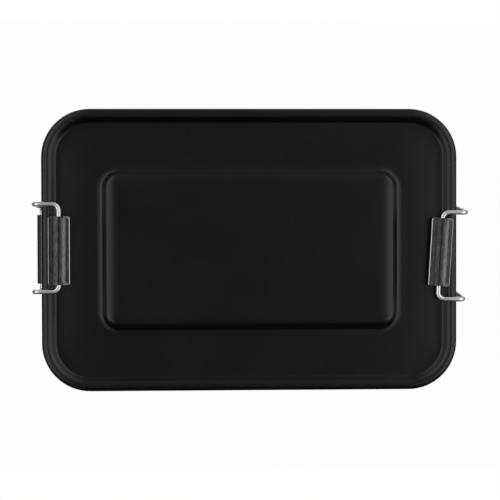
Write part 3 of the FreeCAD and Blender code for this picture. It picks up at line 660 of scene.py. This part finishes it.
class MakeLid(bpy.types.Operator):
    """Make the drawn lid with its raised rim and panel, and finish the seal under it"""

    bl_idname = "lunch_box.make_lid"
    bl_label = "Lid"

    def execute(self, context):
        sizes = context.scene.lunch_box_lid
        half = sizes.long_side / 2
        rim_end = half - sizes.rim_width
        panel_start = sizes.panel_long / 2

        def ring_of(x):
            inset = panel_start - x
            panel_corner = max(sizes.panel_corner - sizes.panel_draw * inset, sizes.panel_least)
            on_rim = Vector((sizes.short_side / 2 - half + x, sizes.corner - half + x))
            on_panel = Vector((sizes.panel_short / 2 - inset, panel_corner))
            from_rim = min(max((rim_end - x) / (rim_end - panel_start), 0), 1)
            return rounded_ring(x, *on_rim.lerp(on_panel, from_rim))

        def shift(p, place):
            rise = eased(rim_end - place.x, sizes.rim_calm) * eased(place.x - panel_start, sizes.foot_calm)
            rise *= sizes.waviness * wander(p.x, p.y, SEEDS["field"], sizes.field_wave)
            return Vector((0, 0, rise))

        def panel_rise(x, y, inset):
            waves = wander(x, y, SEEDS["panel"], sizes.panel_wave)
            return eased(inset, sizes.top_calm) * sizes.waviness * waves

        outer = self.profile(sizes, half, rim_end - panel_start)
        outside = [point for point, side in outer]
        inside = [point - side * sizes.sheet for point, side in outer]
        lid = sheet_shell("lid_sheet", outside, inside, ring_of, shift, panel_rise)
        stand_for(lid, "lid", "lid")
        finish_node("lid_seal", "seal_rubber_soft")
        return {"FINISHED"}

    def profile(self, sizes, half, field_width):
        """The lid's outer line from its skirt's edge to its panel, as pairs of point and outward side."""
        rim, rim_across = drawn_step(
            -sizes.rim_height, 0,
            [(sizes.rim_crown, -sizes.rim_lean), (sizes.rim_top, sizes.rim_lean - sizes.rim_slope)],
            [(sizes.rim_foot, sizes.rim_slope)])
        field = [(sizes.field_spring, sizes.field_tilt),
                 (sizes.field_crown, sizes.field_rest - sizes.field_tilt)]
        field_end = follow((0, 0), 0, field)[-1][0]
        field_run = (field_width - field_end.x) / math.cos(sizes.field_rest)
        field_rise = field_end.y + field_run * math.sin(sizes.field_rest)
        panel_height = sizes.panel_top - sizes.crown + sizes.rim_height - field_rise
        steep_foot = sizes.panel_slope - sizes.panel_foot_turn - sizes.field_rest
        steep_edge = sizes.panel_slope - sizes.panel_edge_turn - sizes.panel_crown_turn
        panel = drawn_step(
            panel_height, sizes.field_rest,
            [(sizes.panel_foot, sizes.panel_foot_turn), (sizes.panel_foot_tight, steep_foot)],
            [(sizes.panel_edge_tight, -steep_edge), (sizes.panel_edge, -sizes.panel_edge_turn),
             (sizes.panel_crown, -sizes.panel_crown_turn)])[0]
        edge = [(sizes.rim_edge, QUARTER_TURN - sizes.rim_lean), (sizes.rim_crown, sizes.rim_lean)]
        edge_end = follow((0, 0), QUARTER_TURN, edge)[-1][0]
        lean_run = (sizes.rim_width - rim_across + edge_end.x) / math.cos(sizes.rim_lean)
        if lean_run < 0 or field_run < 0:
            raise RuntimeError("the rim or the field is too narrow for its bends")
        skirt_foot = sizes.foot + sizes.sheet / 2
        skirt_run = sizes.crown - edge_end.y - lean_run * math.sin(sizes.rim_lean) - skirt_foot
        inwards = [*rim, *field, (field_run, 0), *panel, (2 * SUPPORT, 0)]
        steps = [(skirt_run, 0), edge[0], (lean_run, 0), edge[1], *((size, -turn) for size, turn in inwards)]
        return with_runs(follow((half, skirt_foot), QUARTER_TURN, steps))


class MakeTub(bpy.types.Operator):
    """Make the drawn tub with its rolled rim"""

    bl_idname = "lunch_box.make_tub"
    bl_label = "Tub"

    def execute(self, context):
        sizes = context.scene.lunch_box_tub
        half = sizes.long_side / 2
        half_sheet = sizes.sheet / 2
        curl_height = sizes.top - sizes.curl / 2
        base_end = half - sizes.base_bend - 2 * SUPPORT
        path = with_runs(follow((base_end, half_sheet), 0, [
            (half - sizes.base_bend - base_end, 0),
            (sizes.base_bend - half_sheet, QUARTER_TURN),
            (curl_height - sizes.base_bend, 0),
            (sizes.curl / 2 - half_sheet, -sizes.curl_wrap),
        ]))[::-1]
        outside = [point + side * half_sheet for point, side in path]
        inside = [point - side * half_sheet for point, side in path]

        def ring_of(x):
            return rounded_ring(x, sizes.short_side / 2 - half + x, sizes.corner - half + x)

        def shift(p, place):
            move = eased(place.y - sizes.base_bend, sizes.base_calm)
            move *= eased(curl_height - place.y, sizes.curl_calm)
            move *= eased(half - sizes.corner - abs(p.x), sizes.corner_calm)
            move *= sizes.waviness * wander(p.x, place.y, SEEDS["wall"], sizes.wall_wave)
            return Vector((0, math.copysign(move, p.y) if p.y else 0, 0))

        tub = sheet_shell("tub_sheet", outside, inside, ring_of, shift, lambda x, y, inset: 0)
        stand_for(tub, "tub", "tub")
        return {"FINISHED"}


class MakeBrackets(bpy.types.Operator):
    """Make the two hinge brackets with their rolled knuckles, and finish their rivets"""

    bl_idname = "lunch_box.make_brackets"
    bl_label = "Brackets"

    def execute(self, context):
        scene = context.scene
        sizes = scene.lunch_box_clips
        half_sheet = sizes.plate_sheet / 2
        pivot = Vector((scene.lunch_box_lid.long_side / 2 + sizes.pivot_out, sizes.pivot_height))
        foot = Vector((scene.lunch_box_tub.long_side / 2 + half_sheet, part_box("left_bracket")[0].z))
        stations = self.stations(sizes, foot, pivot)
        for hand, x_side in SIDES.items():
            maker = MeshMaker()
            rings = []
            for point, side, thin in stations:
                half_wide = sizes.plate_width / 2 - corner_cut(sizes.plate_corner, point.y - foot.y)
                ring = self.strip_ring(point, side, half_sheet - thin, half_wide, sizes.plate_soft)
                rings.append(maker.ring((x_side * x, y, z) for x, y, z in ring))
            maker.stack(rings)
            maker.close(rings[0], rings[-1])
            bracket = maker.piece(hand + "_bracket_plate", finish("black_coat_satin"))
            stand_for(bracket, hand + "_bracket", "tub")
            for end in ("front", "rear"):
                finish_node("%s_bracket_rivet_%s" % (hand, end), "black_coat_satin")
        return {"FINISHED"}

    def stations(self, sizes, foot, pivot):
        """Places on the plate's middle line, up its ramp and round the pivot, with side and easing."""
        knuckle = sizes.wire / 2 + sizes.running_fit + sizes.plate_sheet / 2
        out = pivot.x - knuckle - foot.x
        bend_run = sizes.plate_bend * math.tan(sizes.plate_ramp / 2)
        path = follow(foot, QUARTER_TURN, [
            (pivot.y - foot.y - out / math.tan(sizes.plate_ramp) - 2 * bend_run, 0),
            (sizes.plate_bend, -sizes.plate_ramp),
            (out / math.sin(sizes.plate_ramp) - 2 * bend_run, 0),
            (sizes.plate_bend, sizes.plate_ramp),
            (knuckle, -sizes.knuckle_wrap),
        ])
        outward = path[0][1]
        near = [(foot + Vector((0, up * MM)), outward, thin * MM) for up, thin in PLATE_END]
        beyond = near[-1][0].y + ROW_GAP
        return near + [(point, side, 0) for point, side in with_runs(path) if point.y > beyond]

    def strip_ring(self, point, side, half_thick, half_wide, soft):
        """Round the strip's section at one point of its path."""
        soft = min(soft, 0.9 * half_thick)
        ring = []
        for out, across, start in ((1, -1, -90), (1, 1, 0), (-1, 1, 90), (-1, -1, 180)):
            for step in range(EDGE_CELLS + 1):
                turn = math.radians(start + 90 * step / EDGE_CELLS)
                place = point + side * (out * (half_thick - soft) + soft * math.cos(turn))
                ring.append((place.x, across * (half_wide - soft) + soft * math.sin(turn), place.y))
        return ring


def bent_line(points, bends):
    """Follow a wire through its bends, as pairs of point and direction."""
    line = [(points[0], (points[1] - points[0]).normalized())]
    for before, here, after, radius in zip(points, points[1:], points[2:], bends):
        way_in = (here - before).normalized()
        way_out = (after - here).normalized()
        turn = way_in.angle(way_out)
        hinge = way_in.cross(way_out).normalized()
        inward = hinge.cross(way_in)
        start = here - way_in * radius * math.tan(turn / 2)
        middle = start + inward * radius
        cells = max(3, round(turn / ARC_STEP))
        for step in range(cells + 1):
            part = Matrix.Rotation(turn * step / cells, 3, hinge)
            line.append((middle - part @ inward * radius, part @ way_in))
    line.append((points[-1], (points[-1] - points[-2]).normalized()))
    return line


class MakeBails(bpy.types.Operator):
    """Make the two bent wire bails, as they lie when closed"""

    bl_idname = "lunch_box.make_bails"
    bl_label = "Bails"

    # Of the knees and the cross bar: reach past the lid's edge and slip along Y in mm, and skew in degrees
    LIE = {
        "left": {"knees": (3.0, -1.1, 0), "bar": (-7.3, -1.1, 0)},
        "right": {"knees": (3.3, 2.8, 2.0), "bar": (-7.2, 2.5, 3.5)},
    }

    def execute(self, context):
        sizes = context.scene.lunch_box_clips
        edge = context.scene.lunch_box_lid.long_side / 2
        half_bends = [sizes.foot_bend, sizes.foot_bend, sizes.bar_bend]
        for hand, x_side in SIDES.items():
            pivot_x = x_side * (edge + sizes.pivot_out)
            runs = []
            for end in (-1, 1):
                feet = (sizes.leg_gap, sizes.half_span)
                run = [Vector((pivot_x, end * y, sizes.pivot_height)) for y in feet]
                for reach, slip, skew in self.LIE[hand].values():
                    out = Vector((0, end * sizes.half_span)) @ Matrix.Rotation(math.radians(skew), 2)
                    x = x_side * (edge + reach * MM) + out.x
                    run.append(Vector((x, out.y - slip * MM, sizes.bar_height)))
                runs.append(run)
            line = bent_line(runs[0] + runs[1][::-1], half_bends + half_bends[::-1])
            wire = self.tube(line, sizes.wire / 2, hand + "_bail_wire")
            stand_for(wire, hand + "_bail", hand + "_bail")
        return {"FINISHED"}

    def tube(self, line, radius, name):
        """Sweep the wire's round section along its line, with softly cut ends."""
        (start, way), (end, end_way) = line[0], line[-1]
        stations = [(start + way * radius * depth, way, radius * size) for depth, size in WIRE_END]
        for (point, along), (after, next_along) in pairwise(line):
            if (along - next_along).length < SAME_WAY:
                cells = int((after - point).length / RUN_STEP) + 1
                stations += [(point.lerp(after, step / cells), along, radius) for step in range(1, cells)]
            stations.append((after, next_along, radius))
        stations[-1:] = [(end - end_way * radius * depth, end_way, radius * size)
                         for depth, size in reversed(WIRE_END)]
        maker = MeshMaker()
        across = way.orthogonal().normalized()
        around = [cell / WIRE_CELLS for cell in range(WIRE_CELLS + 1)]
        rings = []
        for point, along, size in stations:
            across = (across - along * across.dot(along)).normalized()
            up = along.cross(across)
            turns = [2 * math.pi * part for part in around[:-1]]
            rings.append(maker.ring(point + (across * math.cos(t) + up * math.sin(t)) * size for t in turns))
        gaps = [(two[0] - one[0]).length for one, two in pairwise(stations)]
        maker.stack(rings, [0, *accumulate(gaps)], around)
        maker.close(rings[0], rings[-1])
        return maker.piece(name, finish("spring_wire_drawn"), "wire_run")


class MakeGrips(bpy.types.Operator):
    """Make the two folded sheet grips that turn on the bails' cross bars"""

    bl_idname = "lunch_box.make_grips"
    bl_label = "Grips"

    def execute(self, context):
        sizes = context.scene.lunch_box_clips
        for hand, x_side in SIDES.items():
            low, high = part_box(hand + "_grip")
            axis = Vector(JOINTS[hand + "_grip_turn"]["axis"])
            skew = math.atan2(-axis.x * math.copysign(1, axis.y), abs(axis.y))
            middle = Vector(((low.x + high.x) / 2, (low.y + high.y) / 2, sizes.bar_height))
            tilt = getattr(sizes, hand + "_tilt")
            place = Matrix.Translation(middle) @ Matrix.Rotation(skew, 4, "Z") @ Matrix.Rotation(tilt, 4, "Y")
            grip = self.sleeve(sizes, hand + "_grip_sleeve", SEEDS[hand], place, x_side)
            stand_for(grip, hand + "_grip", hand + "_grip")
        return {"FINISHED"}

    def section(self, sizes):
        """The sleeve's outer line from seam to seam, as pairs of point and outward side."""
        fold = sizes.grip_fold / 2
        hump = sizes.wire / 2 + sizes.running_fit + sizes.grip_sheet
        pinch = sizes.grip_pinch
        turn = sizes.grip_crest_turn
        seam = hump * math.sin(sizes.grip_seam)
        halves = []
        for x_side, lean in ((1, sizes.grip_right_lean), (-1, sizes.grip_left_lean)):
            shift = x_side * sizes.grip_shift
            over, reach = drawn_step(
                fold - hump, 0,
                [(sizes.grip_crest, -turn), (sizes.grip_brow, turn - lean)],
                [(sizes.grip_blend, lean)])
            leaf = sizes.grip_width / 2 - shift - pinch - reach
            if leaf < 0:
                raise RuntimeError("a grip is too narrow for its hump")
            steps = [*over, (leaf, 0), (pinch, -QUARTER_TURN), (fold - pinch, 0)]
            top = with_runs(follow((shift, hump), 0, steps))
            below = [(Vector((p.x, -p.y)), Vector((s.x, -s.y))) for p, s in top[:-1] if p.x > seam]
            halves.append([(Vector((x_side * p.x, p.y)), Vector((-x_side * s.x, -s.y)))
                           for p, s in below + top[::-1]])
        return halves[0] + halves[1][-2::-1]

    def rubbed_and_highlight(self, sizes, x, from_end, x_side):
        """How bright the steel is painted: bare most on the fold that a finger lifts, by the panel, and at
        the cut ends a band that is partly bare steel and partly a painted highlight of light on the cut edge.
        """
        near_fold = eased(abs(x) - sizes.grip_width / 2 + sizes.bare_fold, sizes.bare_fold_fade)
        near_end = eased(sizes.bare_end_and_highlight - from_end, sizes.bare_end_and_highlight_fade)
        # The cut ends' band is partly bare steel and partly a painted highlight
        return max(near_fold * (1.0 if x * x_side < 0 else sizes.bare_outer), sizes.bare_cut_and_highlight * near_end)

    def flared(self, sizes, x, from_end):
        """How far the right leaf stands open near a cut end, between the hump's crest and the fold."""
        off_crest = eased(x - sizes.grip_shift - sizes.flare_start, sizes.flare_rise)
        off_fold = eased(sizes.grip_width / 2 - sizes.flare_stop - x, sizes.flare_fall)
        near_end = eased(sizes.grip_flare_run - from_end, sizes.grip_flare_run)
        return sizes.grip_flare * off_crest * off_fold * near_end

    def rippled(self, sizes, point, y, from_end, seed):
        """How far the hand-folded sheet wanders, less at its cut ends."""
        seed += UNDERSIDE if point.y < 0 else 0
        grown = sizes.ripple_start + (1 - sizes.ripple_start) * from_end / sizes.ripple_calm
        return sizes.grip_ripple * eased(grown, 1) * wander(
            y, point.x * sizes.ripple_across, seed, sizes.ripple_wave)

    def sleeve(self, sizes, name, seed, place, x_side):
        """Draw the folded section along the bar, with rounded corners and eased edges."""
        line = self.section(sizes)
        half = sizes.grip_length / 2
        corner_run = 2 * sizes.grip_corner
        near = [(inside * MM - half, ease * MM) for inside, ease in GRIP_END]
        start = near[-1][0]
        between = [(start - 2 * start * step / GRIP_CELLS, 0) for step in range(1, GRIP_CELLS)]
        stations = near + between + [(-y, ease) for y, ease in reversed(near)]
        maker = MeshMaker()
        rings = []
        wear = []
        for y, ease in stations:
            from_end = half - abs(y)
            pull = corner_cut(sizes.grip_corner, from_end)
            outer = []
            inner = []
            for point, side in line:
                near_edge = eased(abs(point.x) - sizes.grip_width / 2 + corner_run, corner_run)
                base = Vector((point.x - math.copysign(pull * near_edge, point.x), point.y))
                base += side * self.flared(sizes, point.x, from_end)
                outer.append(base + side * (self.rippled(sizes, point, y, from_end, seed) - ease))
                inner.append(base - side * (sizes.grip_sheet - ease))
            ring = outer + inner[::-1]
            rings.append(maker.ring(place @ Vector((p.x, y, p.y)) for p in ring))
            # Bare folds, and at the cut ends a band that is partly bare steel and partly a painted highlight
            wear += [self.rubbed_and_highlight(sizes, p.x, from_end, x_side) for p in ring]
        around = [0, *accumulate((after - point).length for (point, _), (after, _) in pairwise(line))]
        map_gap = 1 * MM
        around += [2 * around[-1] + map_gap - a for a in reversed(around)]
        runs = [y for y, ease in stations]
        maker.stack(rings, runs, [*around, around[0]])
        for ring, run in ((rings[0], runs[0]), (rings[-1], runs[-1])):
            for i in range(len(line) - 1):
                uvs = [(run, around[c]) for c in (i, i + 1, i + 1, i)]
                maker.face((ring[i], ring[i + 1], ring[-2 - i], ring[-1 - i]), uvs)
        return maker.piece(name, finish("grip_steel_brushed"), "strip_run", wear)


class MakeStage(bpy.types.Operator):
    """Make the plain pale floor, the two softboxes, the dim room and the camera"""

    bl_idname = "lunch_box.make_stage"
    bl_label = "Studio"

    def execute(self, context):
        scene = context.scene
        stage = scene.lunch_box_stage
        scene.view_settings.view_transform = "Standard"
        self.camera(scene, stage)
        self.floor(stage)
        for hand, x_side in SIDES.items():
            self.softbox(stage, hand, x_side)
        self.room(scene, stage)
        return {"FINISHED"}

    def camera(self, scene, stage):
        """Look down on the lid from the photograph's place."""
        data = bpy.data.cameras.new("camera")
        data.lens = stage.lens
        data.sensor_width = 36
        data.clip_start = 0.01
        data.clip_end = 50
        camera = placed("camera", data)
        camera.location = stage.camera_place
        camera.rotation_euler = stage.camera_turn
        scene.camera = camera

    def floor(self, stage):
        """A plain floor, white as background and darker where the box shades it."""
        x, y, level = stage.floor_long / 2, stage.floor_short / 2, -stage.floor_drop
        mesh = bpy.data.meshes.new("floor")
        mesh.from_pydata([(-x, -y, level), (x, -y, level), (x, y, level), (-x, y, level)], [], [(0, 1, 2, 3)])
        nodes = Nodes("floor_paper")
        rays = nodes.add("LightPath").outputs
        seen = nodes.math("MAXIMUM", rays["Is Camera Ray"], rays["Is Glossy Ray"])
        seen = nodes.math("MAXIMUM", seen, rays["Is Transmission Ray"])
        seen = nodes.math("MULTIPLY", seen, stage.floor_white)
        paper = nodes.add("BsdfDiffuse", {"Color": shade(stage.floor)})
        white = nodes.add("Emission", {"Color": WHITE, "Strength": 1.0})
        mix = nodes.add("MixShader", {0: seen, 1: paper.outputs[0], 2: white.outputs[0]})
        mesh.materials.append(nodes.finish(mix))
        floor = placed("floor", mesh)

    def softbox(self, stage, hand, x_side):
        """A broad even light above one end of the box, turned to the lid, with its length along Y."""
        height = getattr(stage, hand + "_height")
        data = bpy.data.lights.new(hand + "_softbox", "AREA")
        data.shape = "RECTANGLE"
        data.size = stage.box_length
        data.size_y = 2 * stage.box_distance * math.tan(getattr(stage, hand + "_spread"))
        data.energy = stage.box_level * math.pi * data.size * data.size_y
        light = placed(hand + "_softbox", data)
        way = Vector((x_side * math.cos(height), 0, math.sin(height)))
        along = Vector((0, 1, 0))
        turn = Matrix((along, way.cross(along), way)).transposed().to_4x4()
        lid = Vector((0, 0, LID_HIGH.z))
        light.matrix_world = Matrix.Translation(lid + way * stage.box_distance) @ turn
        light.visible_camera = False

    def room(self, scene, stage):
        """A white background, and before it a dim room that only the box sees."""
        scene.world = bpy.data.worlds.new("background")
        scene.world.use_nodes = True
        background = scene.world.node_tree.nodes["Background"]
        background.inputs["Color"].default_value = WHITE
        background.inputs["Strength"].default_value = 1.0
        maker = MeshMaker()
        tilts = [math.pi * row / ROOM_ROWS for row in range(1, ROOM_ROWS)]
        turns = [2 * math.pi * cell / ROOM_CELLS for cell in range(ROOM_CELLS)]
        rings = [maker.ring(stage.room_size * Vector((
            math.sin(tilt) * math.cos(turn), math.sin(tilt) * math.sin(turn), math.cos(tilt)))
            for turn in turns) for tilt in tilts]
        maker.stack(rings)
        for ring, height in ((rings[0], stage.room_size), (rings[-1], -stage.room_size)):
            pole = maker.ring([(0, 0, height)])
            for i in range(ROOM_CELLS):
                maker.face((ring[i - 1], ring[i], *pole))
        room = maker.piece("room", self.walls(stage))
        room.visible_camera = False

    def walls(self, stage):
        """The room's walls: lighter behind the box and high at its ends, dark in front."""
        nodes = Nodes("room_walls")
        place = nodes.add("TexCoord").outputs["Object"]
        way = nodes.add("VectorMath", {0: place}, operation="NORMALIZE").outputs["Vector"]
        x, y, z = nodes.add("SeparateXYZ", {"Vector": way}).outputs
        side = nodes.math("ABSOLUTE", x)
        front = nodes.math("SUBTRACT", y, nodes.math("MULTIPLY", side, stage.front_wrap))
        front = nodes.ranged(front, stage.front_dark, stage.front_light, stage.room_front, 1.0)
        high = nodes.math("ADD", z, nodes.math("MULTIPLY", x, stage.sides_lean))
        high = nodes.ranged(high, stage.sides_low, stage.sides_high, 0.0, 1.0)
        ends = nodes.ranged(side, 0.0, stage.sides_full, 0.0, stage.room_sides)
        level = nodes.math("ADD", nodes.math("MULTIPLY", ends, high), stage.room)
        behind = nodes.ranged(y, 0.0, 1.0, 0.0, stage.room_back)
        level = nodes.math("ADD", nodes.math("MULTIPLY", level, front), behind)
        return nodes.finish(nodes.add("Emission", {"Color": WHITE, "Strength": level}))


class LunchBoxPanel(bpy.types.Panel):
    """Lists the steps that make the lunch box"""

    bl_idname = "VIEW3D_PT_lunch_box"
    bl_label = "Lunch Box"
    bl_space_type = "VIEW_3D"
    bl_region_type = "UI"
    bl_category = "Lunch Box"

    def draw(self, context):
        column = self.layout.column()
        for operator in OPERATORS:
            column.operator(operator.bl_idname)
        for name, group in GROUPS.items():
            box = self.layout.box()
            settings = getattr(context.scene, name)
            for key in group.__annotations__:
                box.prop(settings, key)


OPERATORS = (MakeTub, MakeLid, MakeBrackets, MakeBails, MakeGrips, MakeStage)
GROUPS = {
    "lunch_box_lid": LidSizes,
    "lunch_box_tub": TubSizes,
    "lunch_box_clips": ClipSizes,
    "lunch_box_finishes": Finishes,
    "lunch_box_stage": StageSizes,
}
CLASSES = (*GROUPS.values(), *OPERATORS, LunchBoxPanel)


def register():
    """Make the operators, the panel and the sizes known to Blender."""
    for cls in CLASSES:
        bpy.utils.register_class(cls)
    for name, group in GROUPS.items():
        setattr(bpy.types.Scene, name, PointerProperty(type=group))


def unregister():
    """Take them out again."""
    for name in GROUPS:
        delattr(bpy.types.Scene, name)
    for cls in reversed(CLASSES):
        bpy.utils.unregister_class(cls)


def main():
    """Make every piece and the stage."""
    register()
    bpy.ops.lunch_box.make_tub()
    bpy.ops.lunch_box.make_lid()
    bpy.ops.lunch_box.make_brackets()
    bpy.ops.lunch_box.make_bails()
    bpy.ops.lunch_box.make_grips()
    bpy.ops.lunch_box.make_stage()


if __name__ == "__main__":
    main()
